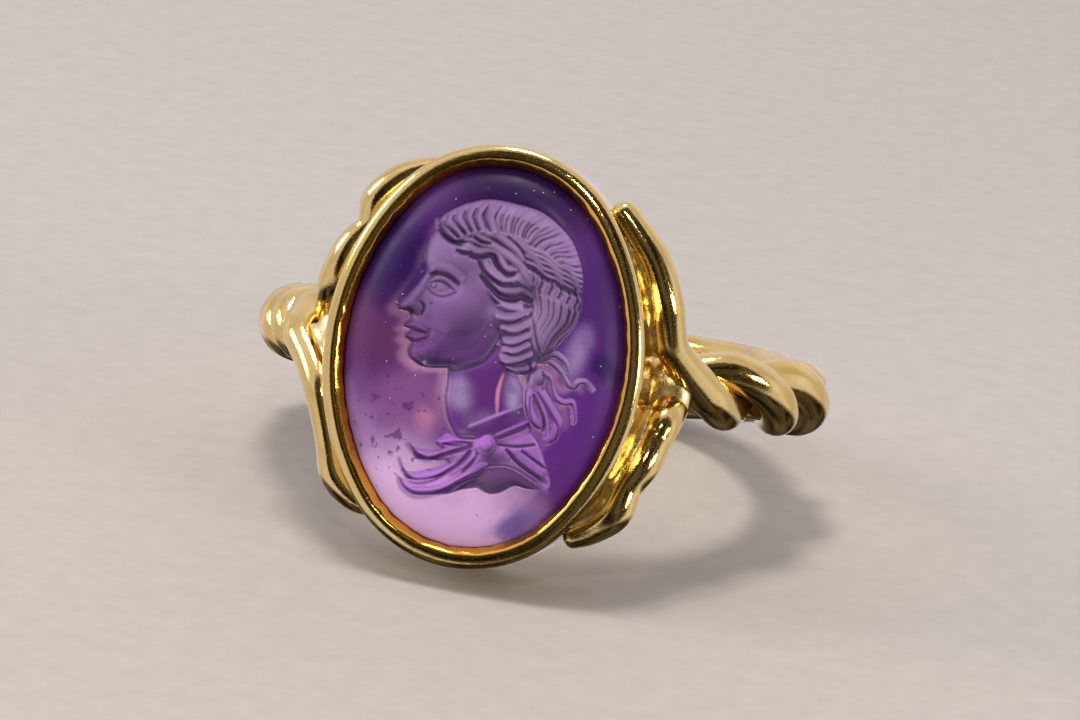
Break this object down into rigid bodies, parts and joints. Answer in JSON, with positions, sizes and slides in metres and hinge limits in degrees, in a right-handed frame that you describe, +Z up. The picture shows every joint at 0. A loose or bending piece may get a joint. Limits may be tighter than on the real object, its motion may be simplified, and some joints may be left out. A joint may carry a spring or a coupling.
{
  "type": "intaglio finger ring",
  "caption": "Gold finger ring with a twisted-wire hoop, branching shoulders and a closed oval bezel that holds an amethyst carved with a sunk profile bust.",
  "frame": {"origin": "middle of the ring's box at its lowest point, on the surface that the ring lies on", "axes": "+Z up from the surface; the carved stone faces -Y and leans back to look upward; the finger axis leans 18.5 degrees from +Z towards +Y"},
  "size_m": [0.0246, 0.0256, 0.0173],
  "materials": {
    "gold": "polished yellow gold, hand worked, with rough solder round the branches",
    "amethyst": "polished violet quartz with a frosted sunk carving"
  },
  "bodies": {
    "root": {"gold_mount": "gold", "intaglio_stone": "amethyst"}
  },
  "joints": []
}
